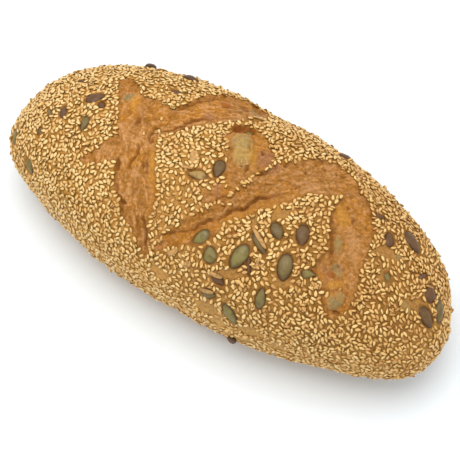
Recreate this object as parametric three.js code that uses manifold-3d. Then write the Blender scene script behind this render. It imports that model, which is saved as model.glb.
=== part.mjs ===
// A rustic pumpkin bread: an oval hearth loaf, cut in a zigzag before baking, with sesame and
// pumpkin seeds baked onto its crust. It is one solid, because the seeds are fused to the crust.
//
// Units are millimetres and +Z is up. The flat base lies in the plane z = 0, the length runs
// along X, and the origin is the middle of the base.
//
// A place on the crust has two coordinates: "along" is the distance from the middle in mm, and
// "round" the angle from the crown in degrees, positive towards +Y. A turn of 0 points along +X,
// and a turn of 90 points the way that round grows.

import * as THREE from "three";
import { mergeVertices } from "three/addons/utils/BufferGeometryUtils.js";
import Module from "manifold-3d";

const wasm = await Module();
wasm.setup();

// Driving dimensions of the loaf
const loafLength = 256;
const loafWidth = 116;
const loafHeight = 75;
const waistHeight = 29; // height of the widest line
const rootDepth = 41; // how far below the waist the lower curve would reach without a hearth
const planFullness = 2.15; // exponents of the curves: 2 is an ellipse, and more is squarer
const domeFullness = 2.3;
const tuckFullness = 2.2;
const ridgeFall = 0.97; // how the height follows the width towards the ends
const endTaper = -0.028; // how much narrower the +X half is than the -X half
const bow = -3.8; // how far both ends curve towards -Y
const footFade = 12; // height over which the relief dies away above the base

// Gentle swells and hollows in the dough: along, round, reach and height
const swells = [
  [14, -104, 44, -1],
  [82, -98, 32, -3],
  [-70, -98, 24, -1.2],
  [120, -88, 16, 0.6],
  [-116, -76, 18, 2.6],
  [-123, -8, 22, -2.4],
  [-112, 42, 20, -1],
  [-5, 62, 14, -1.8],
  [-92, -20, 30, 1.2],
  [-17, -8, 20, 1.4],
  [42, -22, 22, 1.4],
  [100, 5, 26, 0.8],
  [123, 52, 20, -1.8],
];

// Where the crust has opened along the zigzag cut: how deep each opening lies, and its outline as
// places of along and round
const openings = [
  {
    depth: 2.4,
    outline: [
      [-82, 31], [-76, 20], [-71, 9], [-65, -3], [-60, -13], [-62, -21], [-65, -31], [-70, -41],
      [-62, -39], [-55, -33], [-50, -30], [-50, -35], [-46, -41], [-38, -50], [-30, -56], [-22, -62],
      [-14, -67], [-14, -60], [-17, -54], [-21, -46], [-21, -38], [-26, -30], [-33, -19], [-37, -9],
      [-40, -1], [-44, 5], [-52, 12], [-60, 21], [-67, 27], [-74, 35],
    ],
  },
  {
    depth: 2,
    outline: [
      [-62, 20], [-54, 22], [-46, 20], [-42, 26], [-39, 36], [-33, 48], [-26, 56], [-17, 63],
      [-8, 62], [-5, 50], [-8, 44], [-12, 35], [-18, 27], [-25, 19], [-28, 13], [-34, 6], [-38, 0],
      [-42, -8], [-48, -2], [-56, 8],
    ],
  },
  {
    depth: 2.6,
    outline: [
      [-13, -63], [-10, -53], [-5, -41], [1, -30], [7, -20], [9, -9], [12, 2], [14, 11], [18, 21],
      [25, 30], [33, 41], [42, 47], [52, 44], [58, 38], [54, 28], [48, 21], [38, 12], [33, 1],
      [27, -9], [21, -20], [14, -29], [12, -38], [4, -48], [-4, -54],
    ],
  },
  {
    depth: 1.5,
    outline: [
      [53, 33], [52, 20], [54, 9], [58, -5], [61, -16], [60, -28], [67, -32], [71, -40], [77, -47],
      [82, -46], [84, -36], [83, -22], [79, -9], [78, 6], [74, 20], [69, 30], [60, 38],
    ],
  },
];
const shelf = 3.2; // how far inside its edge an opening gets most of its depth
const lipHeight = 0.9; // the dough beside an opening is pushed up a little
const lipPlace = 1.1; // how far outside the edge the lip stands
const lipReach = 2.2;
const stepsPerPlace = 2;

// Hollows in the crust: along, round, turn, length, width and depth
const hollows = [
  [-7.5, 29, 32, 11, 7, 3.4],
  [-17, 51, 10, 6, 4, 1],
];

// Pumpkin seeds that lie wholly under the crust: along, round, turn, length, width and height
const buriedSeeds = [
  [-3, 19, 300, 14.5, 12.5, 2],
  [0.5, 13.5, 297, 19, 11.5, 1.8],
  [77, -37, 252, 11, 7.5, 1.6],
  [64, -4, 295, 11, 5, 0.7],
  [70, -19, 321, 8, 5, 0.7],
  [-69, 18, 248, 8, 6.5, 0.9],
  [-12.5, 50, 14, 6, 5, 1],
  [-8, 49, 80, 6, 4, 0.9],
  [91, 17, 334, 7, 4, 0.8],
  [105, -13, 344, 8, 4.5, 0.9],
  [103, -41, 319, 6, 3.5, 0.7],
  [88, -88, 350, 8, 4.5, 0.8],
];

// Pumpkin seeds on the crust: along, round, turn, length, width, how far the crown of the seed
// stands above the crust, and how much narrower it is towards its tip
const pumpkinSeeds = [
  [-83, 5, 43, 10.8, 6.2, 2, 0.3],
  [-77, 1, 341, 5.5, 4.4, 1.4, 0.2],
  [-78, -18, 287, 9.6, 4.8, 1.6, 0.3],
  [-93, -17, 301, 8.8, 4.7, 1.4, 0.2],
  [-101, -22, 319, 8, 2.9, 0.9, 0.2],
  [-99, -40, 293, 6, 3.5, 0.8, 0.2],
  [-97, -67, 324, 9.8, 6, 1.2, 0.2],
  [-114, -62, 300, 8.5, 5.5, 1.3, 0.2],
  [-99, 23, 8, 5, 2.6, 1.2, 0.2],
  [-77, 62, 72, 7.5, 5.2, 3.3, 0.1],
  [-52, 55, 345, 9.8, 5.6, 2.7, 0.2],
  [-50, 35, 11, 6.8, 3.2, 1.4, 0.2],
  [-4, 30, 335, 6, 4.4, 2.6, 0.1],
  [-4, -4, 287, 10.2, 6.2, 1.9, 0.25],
  [-11, -14, 200, 10.8, 5.6, 1.4, 0.5],
  [7, -43, 240, 10.8, 6.4, 1.5, 0.45],
  [15, -48, 125, 9.2, 7.4, 1.5, 0.25],
  [28, -41, 262, 13.6, 7.9, 2.3, 0.1],
  [33, -30, 328, 13.2, 5, 1.8, 0.3],
  [34, -43, 299, 9.8, 2.9, 1.5, 0.1],
  [37, -19, 323, 9.8, 6.5, 1.6, 0.2],
  [48, -13, 296, 11.4, 7, 2, 0.3],
  [49, -34, 290, 13, 7.7, 2.4, 0.1],
  [60, -31, 20, 7.6, 4.4, 1.3, 0.6],
  [46, -55, 102, 11.2, 5.4, 1.9, 0.25],
  [35, -72, 313, 13, 6, 2.3, 0.15],
  [24, -57, 346, 8, 5, 1.5, 0.6],
  [22, -67, 11, 8.2, 6, 1.6, 0.5],
  [38, -98, 278, 8, 4.5, 3.4, 0.5],
  [91, 38, 336, 12.6, 6.6, 2.4, 0.2],
  [82, 23, 121, 8.8, 5.2, 1.7, 0.35],
  [72, 33, 18, 6.2, 3.8, 1.4, 0.2],
  [104, 23, 75, 5.8, 3.2, 1.6, 0.3],
  [111, 18, 122, 9.8, 6.4, 2, 0.4],
  [119, 16, 309, 11.8, 5.8, 2.1, 0.15],
  [115, -6, 339, 11.8, 6.6, 2.2, 0.15],
  [91, -2, 320, 5.6, 3.8, 0.9, 0.2],
  [39, 62, 57, 9, 5.5, 2.3, 0.2],
  [-40, 84, 30, 12.5, 7.5, 1.8, 0.2],
  [12, 88, 140, 12, 7, 1.7, 0.3],
  [66, 78, 75, 12.5, 7.5, 1.9, 0.2],
  [-92, 88, 60, 11.5, 7, 1.7, 0.3],
  [98, 74, 25, 12, 7, 1.8, 0.2],
];
const pumpkinThickness = 3;
const pumpkinSides = 9;
const pumpkinRings = 4;

// Sesame seeds
const sesameCount = 100;
const sesameLength = 3.2;
const sesameWidth = 2;
const sesameThickness = 1.1;
const sesameLift = 0.3; // height of a seed's rim above the crust
const sesameRoot = 1.6; // how deep its underside sits in the crust
const sesamePinch = 0.22;
const sesameSides = 6;
const sesameGap = 1.5; // least distance from the edge of an opening or of a pumpkin seed
const sesameLowest = 5; // none lie nearer the base than this
const candidatesPerSeed = 16;
const drawSeed = 20417;

// Fineness of the crust's faces
const stationCount = 54;
const endCrowding = 0.75; // 0 spaces the stations evenly, and 1 crowds them most at the ends
const crownSteps = 32;
const crownReach = 78; // the crown steps run this many degrees to each side
const sideSteps = 4;
const baseSteps = 4;
const turnsUnderAtEnds = 150;

const halfLength = loafLength / 2;
const halfWidth = loafWidth / 2;
const radians = THREE.MathUtils.degToRad;
const degrees = THREE.MathUtils.radToDeg;

// How thick the loaf still is at this distance from the middle, from 1 down to 0 at the ends.
function girthAt(along) {
  const share = Math.min(Math.abs(along) / halfLength, 1);
  return Math.pow(1 - Math.pow(share, planFullness), 1 / planFullness);
}

function halfWidthAt(along) {
  return halfWidth * girthAt(along) * (1 + (endTaper * along) / halfLength);
}

function rootDepthAt(along) {
  return rootDepth * Math.pow(girthAt(along), ridgeFall);
}

// A point of the loaf as if it had no cuts, swells or seeds.
function skinPoint(along, round) {
  const middle = bow * (along / halfLength) ** 2;
  const girth = girthAt(along);
  if (girth < 1e-6) return new THREE.Vector3(along, middle, waistHeight);
  const across = Math.sin(radians(round));
  const up = Math.cos(radians(round));
  const isDome = up >= 0;
  const rise = isDome ? (loafHeight - waistHeight) * Math.pow(girth, ridgeFall) : rootDepthAt(along);
  const fullness = isDome ? domeFullness : tuckFullness;
  const reach = Math.pow(
    Math.pow(Math.abs(across) / halfWidthAt(along), fullness) + Math.pow(Math.abs(up) / rise, fullness),
    -1 / fullness,
  );
  return new THREE.Vector3(along, middle + reach * across, Math.max(waistHeight + reach * up, 0));
}

// The outward direction of that skin, from two short steps over it.
function skinNormal(along, round) {
  if (girthAt(along) < 1e-6) return new THREE.Vector3(Math.sign(along), 0, 0);
  const step = 0.5;
  const limit = halfLength - step;
  const near = THREE.MathUtils.clamp(along, -limit, limit);
  const here = skinPoint(near, round);
  const onward = skinPoint(near + step / 2, round).sub(here);
  const sideways = skinPoint(near, round + step).sub(here);
  return onward.cross(sideways).normalize();
}

// The smooth closed line through an outline's places, in short straight pieces over the skin.
function traceOutline(outline) {
  const places = outline.map(([along, round]) => new THREE.Vector3(along, round, 0));
  const curve = new THREE.CatmullRomCurve3(places, true, "catmullrom");
  const corners = curve.getPoints(stepsPerPlace * outline.length);
  return corners.slice(1).map((to, i) => {
    const from = corners[i];
    return { from, to, line: new THREE.Line3(skinPoint(from.x, from.y), skinPoint(to.x, to.y)) };
  });
}

const tracedOpenings = openings.map(({ depth, outline }) => ({ depth, trace: traceOutline(outline) }));

// How far a place is inside a traced outline: less than 0 outside it.
function distanceInside(point, along, round, trace) {
  let isInside = false;
  let nearest = Infinity;
  const foot = new THREE.Vector3();
  for (const { from, to, line } of trace) {
    if (from.y > round !== to.y > round) {
      const share = (round - from.y) / (to.y - from.y);
      if (along < THREE.MathUtils.lerp(from.x, to.x, share)) isInside = !isInside;
    }
    nearest = Math.min(nearest, line.closestPointToPoint(point, true, foot).distanceTo(point));
  }
  return isInside ? nearest : -nearest;
}

function bell(share) {
  return Math.exp(-share * share);
}

// An opening goes down from its edge to its depth, with a low lip outside the edge. The lips stop
// where another opening meets them.
function openingRelief(point, along, round) {
  let relief = 0;
  let lip = 0;
  for (const { depth, trace } of tracedOpenings) {
    const inside = distanceInside(point, along, round, trace);
    if (inside > 0) relief = Math.min(relief, -depth * (1 - Math.exp(-inside / shelf)));
    else lip = Math.max(lip, lipHeight * bell((inside + lipPlace) / lipReach));
  }
  return relief < 0 ? relief : lip;
}

const swellPoints = swells.map(([along, round, reach, height]) => ({
  point: skinPoint(along, round),
  reach,
  height,
}));

function swellRelief(point) {
  return swellPoints.reduce((sum, s) => sum + s.height * bell(point.distanceTo(s.point) / s.reach), 0);
}

// The frame of a thing that lies on the crust: its place, its length's and width's directions,
// and the outward direction.
function framesOn(point, along, round, turn) {
  const out = skinNormal(along, round);
  const onward = new THREE.Vector3(1, 0, 0).addScaledVector(out, -out.x).normalize();
  const sideways = new THREE.Vector3().crossVectors(out, onward);
  const length = onward
    .clone()
    .multiplyScalar(Math.cos(radians(turn)))
    .addScaledVector(sideways, Math.sin(radians(turn)));
  const width = new THREE.Vector3().crossVectors(out, length);
  return { point, length, width, out };
}

// An oval that lies on the skin, from one row of the tables above.
function makeOval([along, round, turn, length, width, height]) {
  return {
    ...framesOn(skinPoint(along, round), along, round, turn),
    halfLong: length / 2,
    halfWide: width / 2,
    height,
  };
}

// How far a point is from the middle of an oval: 1 on its edge.
function reachInOval(point, oval) {
  const offset = point.clone().sub(oval.point);
  const long = offset.dot(oval.length) / oval.halfLong;
  const wide = offset.dot(oval.width) / oval.halfWide;
  const high = offset.dot(oval.out) / (2 * oval.halfLong);
  return Math.hypot(long, wide, high);
}

const buried = buriedSeeds.map(makeOval);
const sunk = hollows.map(makeOval);

// Crust swells over the buried seeds and sinks in the hollows.
function ovalRelief(point) {
  const swollen = buried.reduce((sum, seed) => {
    return sum + seed.height * Math.sqrt(Math.max(1 - reachInOval(point, seed) ** 2, 0));
  }, 0);
  return sunk.reduce((sum, hollow) => {
    return sum - hollow.height * (1 - THREE.MathUtils.smoothstep(reachInOval(point, hollow), 0.6, 1.1));
  }, swollen);
}

// A point of the finished crust.
function crustPoint(along, round) {
  const point = skinPoint(along, round);
  const fade = THREE.MathUtils.smoothstep(point.z, 0, footFade);
  const relief = swellRelief(point) + openingRelief(point, along, round) + ovalRelief(point);
  point.addScaledVector(skinNormal(along, round), relief * fade);
  point.z = Math.max(point.z, 0);
  return point;
}

// Moves the vertices of a unit sphere and returns the closed solid. place gets two shares: across,
// which goes round the sphere's axis from 1 to -1, and down, from 1 at one pole to -1 at the other.
function solidFromSphere(sides, rings, place) {
  const geometry = new THREE.SphereGeometry(1, sides, rings);
  const position = geometry.getAttribute("position");
  for (let i = 0; i < position.count; i++) {
    const side = i % (sides + 1);
    const ring = Math.floor(i / (sides + 1));
    const moved = place(1 - (2 * side) / sides, 1 - (2 * ring) / rings);
    position.setXYZ(i, moved.x, moved.y, moved.z);
  }
  geometry.deleteAttribute("normal");
  geometry.deleteAttribute("uv");
  const merged = mergeVertices(geometry, 1e-4);
  const mesh = new wasm.Mesh({
    numProp: 3,
    vertProperties: merged.getAttribute("position").array,
    triVerts: new Uint32Array(merged.index.array),
  });
  return new wasm.Manifold(mesh);
}

// The angle at which the side of the loaf meets the base.
function footAngle(along) {
  const below = waistHeight / Math.max(rootDepthAt(along), 1e-6);
  if (below >= 1) return turnsUnderAtEnds;
  const width = halfWidthAt(along) * Math.pow(1 - Math.pow(below, tuckFullness), 1 / tuckFullness);
  return Math.min(degrees(Math.atan2(width, -waistHeight)), turnsUnderAtEnds);
}

// Values spaced evenly from one end, leaving out the other end.
function evenSteps(from, to, count) {
  return Array.from({ length: count }, (_, i) => from + ((to - from) * i) / count);
}

// The angles of the faces' corners round one station, from the middle of the base over the side
// and the crown and back.
function cornersRound(along) {
  const foot = footAngle(along);
  const halfBase = baseSteps / 2;
  const halfCrown = crownSteps / 2;
  const half = [
    ...evenSteps(0, crownReach, halfCrown),
    ...evenSteps(crownReach, foot, sideSteps),
    ...evenSteps(foot, 180, halfBase),
    180,
  ];
  return [...half.toReversed(), ...half.slice(1).map((round) => -round)];
}

function makeDough() {
  const sides = crownSteps + 2 * sideSteps + baseSteps;
  return solidFromSphere(sides, stationCount, (across, down) => {
    const spaced = endCrowding * Math.sin((down * Math.PI) / 2) + (1 - endCrowding) * down;
    const along = halfLength * spaced;
    const corner = Math.round(((1 - across) / 2) * sides);
    return crustPoint(along, cornersRound(along)[corner]);
  });
}

// A flat seed with a narrower tip. Its rim stands lift above the crust, its crown half of the
// thickness more, and its underside goes down to root below the crust.
function makeSeed(place, { length, width, thickness, lift, root, pinch, sides, rings }) {
  return solidFromSphere(sides, rings, (across, down) => {
    const angle = across * Math.PI;
    const slope = ((1 - down) * Math.PI) / 2;
    const spread = Math.sin(slope);
    const long = (Math.cos(angle) * spread * length) / 2;
    const wide = (-Math.sin(angle) * spread * (1 - pinch * Math.cos(angle)) * width) / 2;
    const high = lift + Math.cos(slope) * (down > 0 ? thickness / 2 : lift + root);
    return place.point
      .clone()
      .addScaledVector(place.length, long)
      .addScaledVector(place.width, wide)
      .addScaledVector(place.out, high);
  });
}

function makePumpkinSeed([along, round, turn, length, width, proud, pinch]) {
  return makeSeed(framesOn(crustPoint(along, round), along, round, turn), {
    length,
    width,
    thickness: pumpkinThickness,
    lift: proud - pumpkinThickness / 2,
    root: pumpkinThickness / 2,
    pinch,
    sides: pumpkinSides,
    rings: pumpkinRings,
  });
}

// A small random number generator with a fixed start, so that each build is the same.
function makeDraw(start) {
  let state = start;
  return () => {
    state = (state + 0x6d2b79f5) | 0;
    let mixed = Math.imul(state ^ (state >>> 15), 1 | state);
    mixed = (mixed + Math.imul(mixed ^ (mixed >>> 7), 61 | mixed)) ^ mixed;
    return ((mixed ^ (mixed >>> 14)) >>> 0) / 4294967296;
  };
}

// Whether a sesame seed can lie here: on the seeded crust, clear of the openings, of the base and
// of the pumpkin seeds.
function isSeeded(point, along, round, pumpkinPlaces) {
  if (point.z < sesameLowest) return false;
  const clearance = sesameLength / 2 + sesameGap;
  const isOpen = tracedOpenings.some(
    ({ trace }) => distanceInside(point, along, round, trace) > -clearance,
  );
  if (isOpen) return false;
  if ([...buried, ...sunk].some((oval) => reachInOval(point, oval) < 1.4)) return false;
  return pumpkinPlaces.every(({ at, half }) => point.distanceTo(at) > half + clearance);
}

// Spreads the sesame seeds evenly: each takes the free place that is furthest from the others.
function placeSesame() {
  const draw = makeDraw(drawSeed);
  const pumpkinPlaces = pumpkinSeeds.map(([along, round, , length]) => ({
    at: skinPoint(along, round),
    half: length / 2,
  }));
  const chosen = [];
  while (chosen.length < sesameCount) {
    let best = null;
    for (let i = 0; i < candidatesPerSeed; ) {
      const along = (2 * draw() - 1) * halfLength;
      const round = (2 * draw() - 1) * 180;
      const point = skinPoint(along, round);
      if (!isSeeded(point, along, round, pumpkinPlaces)) continue;
      i++;
      const room = Math.min(...chosen.map((other) => other.point.distanceTo(point)), loafLength);
      if (!best || room > best.room) best = { along, round, point, room };
    }
    chosen.push({ ...best, turn: draw() * 360 });
  }
  return chosen;
}

function makeSesameSeed({ along, round, turn }) {
  return makeSeed(framesOn(crustPoint(along, round), along, round, turn), {
    length: sesameLength,
    width: sesameWidth,
    thickness: sesameThickness,
    lift: sesameLift,
    root: sesameRoot,
    pinch: sesamePinch,
    sides: sesameSides,
    rings: 2,
  });
}

// Joins the dough and the seeds into one solid and gives it back as a geometry.
function bake() {
  const seeds = [...pumpkinSeeds.map(makePumpkinSeed), ...placeSesame().map(makeSesameSeed)];
  const joined = wasm.Manifold.union([makeDough(), ...seeds]);
  const { vertProperties, triVerts } = joined.getMesh();
  const geometry = new THREE.BufferGeometry();
  geometry.setAttribute("position", new THREE.BufferAttribute(vertProperties, 3));
  geometry.setIndex(new THREE.BufferAttribute(triVerts, 1));
  const faceted = geometry.toNonIndexed();
  faceted.computeVertexNormals();
  return faceted;
}

const crust = new THREE.MeshStandardMaterial({ color: 0xc08a4d, roughness: 0.62, metalness: 0 });

const bread = new THREE.Group();
const loaf = new THREE.Mesh(bake(), crust);
loaf.name = "loaf";
bread.add(loaf);

export default bread;
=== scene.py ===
"""A rustic pumpkin bread: an oval hearth loaf, cut in a zigzag, with sesame and pumpkin seeds.

The form is worked out in millimetres and turned into metres where a mesh is made. A place on the
crust has two coordinates, as in the solid: along, the distance from the middle in millimetres,
and turn, the angle from the crown in degrees, positive towards +Y.
"""

import math
from collections import namedtuple

import bpy
import numpy as np
from bpy.props import FloatProperty, FloatVectorProperty, IntProperty, PointerProperty
from mathutils import Matrix, Vector, noise


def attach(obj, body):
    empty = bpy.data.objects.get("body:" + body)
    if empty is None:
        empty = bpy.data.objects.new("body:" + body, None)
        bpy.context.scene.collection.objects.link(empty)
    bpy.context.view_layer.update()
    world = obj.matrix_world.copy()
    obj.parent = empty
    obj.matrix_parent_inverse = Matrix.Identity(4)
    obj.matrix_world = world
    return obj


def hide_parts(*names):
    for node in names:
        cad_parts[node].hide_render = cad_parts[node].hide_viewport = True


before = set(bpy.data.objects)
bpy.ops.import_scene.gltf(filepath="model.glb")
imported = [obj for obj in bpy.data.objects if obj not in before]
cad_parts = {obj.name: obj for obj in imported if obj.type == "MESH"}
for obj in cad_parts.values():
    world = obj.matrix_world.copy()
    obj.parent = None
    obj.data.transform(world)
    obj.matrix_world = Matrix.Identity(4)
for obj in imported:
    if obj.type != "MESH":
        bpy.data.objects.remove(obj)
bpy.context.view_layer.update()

bl_info = {
    "name": "Rustic pumpkin bread",
    "version": (1, 0, 0),
    "blender": (4, 5, 0),
    "location": "3D View > Sidebar > Bread",
    "description": "Builds an oval loaf with sesame and pumpkin seeds baked onto its crust",
    "category": "Add Mesh",
}

MM = 0.001

# The form of the dough in millimetres and degrees, with the values of its solid
LENGTH = 256
WIDTH = 116
HEIGHT = 75
WAIST = 29
ROOT_DEPTH = 41
PLAN_FULLNESS = 2.15
DOME_FULLNESS = 2.3
TUCK_FULLNESS = 2.2
RIDGE_FALL = 0.97
END_TAPER = -0.028
BOW = -3.8
FOOT_FADE = 12
HALF_LENGTH = LENGTH / 2
TUCKED_ENDS = 150

# Gentle swells and hollows: along, turn, reach and height
SWELLS = (
    (14, -104, 44, -1),
    (82, -98, 32, -3),
    (-70, -98, 24, -1.2),
    (120, -88, 16, 0.6),
    (-116, -76, 18, 2.6),
    (-123, -8, 22, -2.4),
    (-112, 42, 20, -1),
    (-5, 62, 14, -1.8),
    (-92, -20, 30, 1.2),
    (-17, -8, 20, 1.4),
    (42, -22, 22, 1.4),
    (100, 5, 26, 0.8),
    (123, 52, 20, -1.8),
)

# Where the crust has opened: the outline of the opening, how deep it lies, and the heading of the
# fibres in it and how strongly they show. An outline's places are along and turn.
Opening = namedtuple("Opening", "outline depth grain streak")
OPENINGS = (
    Opening(
        (
            (-82, 31), (-76, 20), (-71, 9), (-65, -3), (-60, -13), (-62, -21), (-65, -31), (-70, -41),
            (-62, -39), (-55, -33), (-50, -30), (-50, -35), (-46, -41), (-38, -50), (-30, -56), (-22, -62),
            (-14, -67), (-14, -60), (-17, -54), (-21, -46), (-21, -38), (-26, -30), (-33, -19), (-37, -9),
            (-40, -1), (-44, 5), (-52, 12), (-60, 21), (-67, 27), (-74, 35),
        ),
        2.4,
        -58,
        0.6,
    ),
    Opening(
        (
            (-62, 20), (-54, 22), (-46, 20), (-42, 26), (-39, 36), (-33, 48), (-26, 56), (-17, 63),
            (-8, 62), (-5, 50), (-8, 44), (-12, 35), (-18, 27), (-25, 19), (-28, 13), (-34, 6), (-38, 0),
            (-42, -8), (-48, -2), (-56, 8),
        ),
        2,
        40,
        0.6,
    ),
    Opening(
        (
            (-13, -63), (-10, -53), (-5, -41), (1, -30), (7, -20), (9, -9), (12, 2), (14, 11), (18, 21),
            (25, 30), (33, 41), (42, 47), (52, 44), (58, 38), (54, 28), (48, 21), (38, 12), (33, 1),
            (27, -9), (21, -20), (14, -29), (12, -38), (4, -48), (-4, -54),
        ),
        2.6,
        50,
        0.5,
    ),
    Opening(
        (
            (53, 33), (52, 20), (54, 9), (58, -5), (61, -16), (60, -28), (67, -32), (71, -40), (77, -47),
            (82, -46), (84, -36), (83, -22), (79, -9), (78, 6), (74, 20), (69, 30), (60, 38),
        ),
        1.5,
        -64,
        0.15,
    ),
)
LIP_HEIGHT = 0.9
LIP_REACH = 2.2
SHELF = 3.2
FIBRE_LENGTH = 10
FIBRE_WIDTH = 2

# Crust without sesame, round the largest buried seeds and beside the third opening: the outlines
BARE_GROUNDS = (
    (
        (-10, 15), (-12, 25), (-7, 34), (0, 34), (8, 28), (14, 23), (14, 12), (9, 0), (6, -8), (1, -10),
        (-1, -2), (-6, 8),
    ),
    ((-3, -26), (-4, -20), (0, -12), (6, -4), (11, 1), (10, -8), (7, -18), (0, -28)),
)

# A crack or fold in the crust: its places, the width and depth of the groove, and the depth of
# the wide furrow that it lies in
Crease = namedtuple("Crease", "places width depth furrow")
CREASES = (
    Crease(((-49, -11), (-46, -16), (-45, -20), (-45, -26), (-44, -29), (-42, -30)), 0.7, 1, 0),
    Crease(((-40, -15), (-38, -20), (-36, -24), (-32, -29)), 1, 0.9, 0.3),
    Crease(((-41, -23), (-38, -24), (-37, -27)), 0.7, 0.6, 0),
    Crease(((-37, -34), (-35, -37), (-33, -41)), 1, 0.6, 0),
    Crease(((-54, -31), (-51, -29), (-49, -32), (-49, -37)), 0.9, 1.6, 0),
    Crease(((-48, -37), (-44, -42), (-41, -46), (-37, -48), (-35, -52), (-31, -56)), 0.8, 0.9, 0),
    Crease(((-38, -47), (-35, -48)), 0.8, 1, 0),
    Crease(((-35, -45), (-36, -41)), 0.7, 0.5, 0),
    Crease(((-29, -45), (-28, -42)), 0.7, 0.6, 0),
    Crease(((-24, -46), (-25, -42)), 0.7, 0.6, 0),
    Crease(((-28, -50), (-27, -52), (-22, -60)), 0.8, 0.8, 0),
    Crease(((-26, -47), (-23, -51), (-19, -56), (-17, -64)), 0.8, 1.4, 0),
    Crease(((-82, 33), (-77, 35)), 0.8, 1.2, 0),
    Crease(((-59, 9), (-56, 3), (-54, -4)), 1.8, 0.6, 0),
    Crease(((-42, 2), (-44, 3), (-45, 2), (-45, -2), (-45, -5), (-42, -10)), 0.8, 1.6, 0),
    Crease(((-43, -4), (-42, -9)), 0.7, 0.8, 0),
    Crease(((-42, 2), (-38, 5), (-35, 11), (-33, 18), (-29, 24), (-23, 30)), 0.9, 1.3, 0.3),
    Crease(((-39, 1), (-34, 5), (-32, 10), (-29, 15), (-25, 17)), 0.8, 0.9, 0),
    Crease(((-44, 16), (-42, 22), (-38, 32), (-34, 41), (-28, 50)), 0.9, 0.9, 0),
    Crease(((-27, 41), (-23, 45)), 1, 1.1, 0),
    Crease(((-9, 38), (-7, 40), (-4, 43)), 0.9, 1.5, 0),
    Crease(((-12, 24), (-9, 28), (-6, 29), (-2, 30)), 1, 1.6, 0),
    Crease(((-1, 21), (2, 18), (3, 13)), 0.7, 0.5, 0),
    Crease(((7, 23), (9, 20)), 0.8, 1, 0),
    Crease(((4, 5), (5, 4)), 0.8, 0.9, 0),
    Crease(((7, 4), (7, 8)), 0.8, 0.9, 0),
    Crease(
        (
            (8, -31), (10, -28), (12, -22), (14, -19), (17, -17), (18, -12), (20, -5), (23, -2), (26, 2),
            (29, 8),
        ),
        0.9,
        1.5,
        0.4,
    ),
    Crease(((0, -44), (2, -39), (4, -35), (6, -32), (8, -32)), 0.9, 1.4, 0.4),
    Crease(((11, 2), (12, 6), (14, 9), (17, 14)), 0.9, 1, 0.2),
    Crease(((22, 12), (24, 14)), 0.7, 0.8, 0),
    Crease(((32, 12), (32, 15), (33, 17)), 0.7, 0.8, 0),
    Crease(((20, 21), (22, 24)), 0.9, 1.1, 0),
    Crease(((16, 1), (20, 7), (22, 8)), 0.7, 0.5, 0),
    Crease(((1, -26), (3, -24), (5, -21), (9, -22)), 0.8, 1, 0),
    Crease(((3, -22), (5, -18), (9, -15), (9, -10), (10, -4)), 0.8, 0.9, 0),
    Crease(((-12, -53), (-8, -49), (-4, -46), (1, -42)), 0.9, 0.8, 0),
    Crease(((50, 18), (54, 10), (59, -1), (63, -10), (68, -20), (72, -26)), 1.4, 0.6, 0.2),
    Crease(((57, 24), (59, 23)), 0.8, 1.1, 0),
    Crease(((63, 19), (64, 17), (65, 14)), 0.8, 1.2, 0),
    Crease(((70, -35), (74, -31), (79, -28)), 0.6, 0.4, 0),
    Crease(((68, -17), (71, -16)), 0.6, 0.6, 0),
)

# Smooth orange faces of torn dough: their places and width
SMOOTH_FACES = (
    (((-42, -4), (-37, -14), (-31, -24), (-26, -34), (-22, -43), (-18, -53)), 4.4),
    (((-6, -53), (2, -42), (10, -33), (17, -22), (22, -13), (27, -5), (34, 5), (41, 15)), 4.6),
    (((51, 14), (56, 3), (61, -9), (66, -22)), 2.6),
    (((62, -28), (68, -28)), 4),
    (((-66, 14), (-61, 9), (-56, 3)), 3.4),
)

# Pits and torn bubbles: along, turn, width and depth
PITS = (
    (-17, 51.5, 5.2, 0.9),
    (-9.5, 54.5, 4, 0.8),
    (-11, 61, 2.6, 1.4),
    (-5, 54, 2.4, 1.2),
    (-43, 15, 1.3, 0.8),
    (-36, 26, 1.2, 0.5),
    (37, 38, 1.9, 1),
    (31, 27, 1.5, 1),
    (35, 29, 1.3, 0.8),
    (43, 41, 1.5, 0.8),
    (46, 43, 1.9, 1),
    (34, 40, 1.3, 0.7),
    (28, 30, 1.3, 0.6),
)

# Hollows in the crust: along, turn, heading, length, width and depth
HOLLOWS = (
    (-7.5, 29, 32, 11, 7, 3.4),
    (-17, 51, 10, 6, 4, 1),
    (80, -43.5, 20, 3.4, 2, 2),
)

# Ovals of crust that are tinted: along, turn, heading, length and width
TINTS = {
    "golden": (
        (5.5, 15, 296, 15, 4.5),
        (73, -28, 38, 8.5, 3.8),
        (58, 15, 311, 11, 6),
        (-65, 17, 291, 10, 4),
        (30, -8, 60, 9, 5),
        (16, -28, 65, 14, 5),
        (-34, -22, 300, 16, 4),
    ),
    "rosy": (
        (13, 18, 340, 14, 11),
        (-27, 28, 351, 6, 6),
        (66, -25, 312, 8, 2.8),
        (70, -18, 355, 5.4, 3.9),
        (30, 40, 20, 16, 4),
        (-66, -12, 320, 8, 3),
        (2, -16, 300, 10, 3),
    ),
    "red": (
        (69, -24, 67, 3.8, 3.4),
        # This oval lies over the first hollow: its red is painted shade in the pocket.
        (-7.5, 29, 32, 11, 6.5),
        (-25.5, 45, 15, 6, 4),
        (19, 28, 30, 5, 2),
        (20, -33, 40, 4, 3),
    ),
    "light": (
        (-60, -27, 48, 9, 5),
        (-58, -9, 322, 12, 5),
        (70, 2, 308, 16, 7),
        (-40, -30, 300, 8, 4),
        (-30, 20, 40, 10, 4),
        (38, 20, 60, 12, 6),
    ),
}

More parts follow.
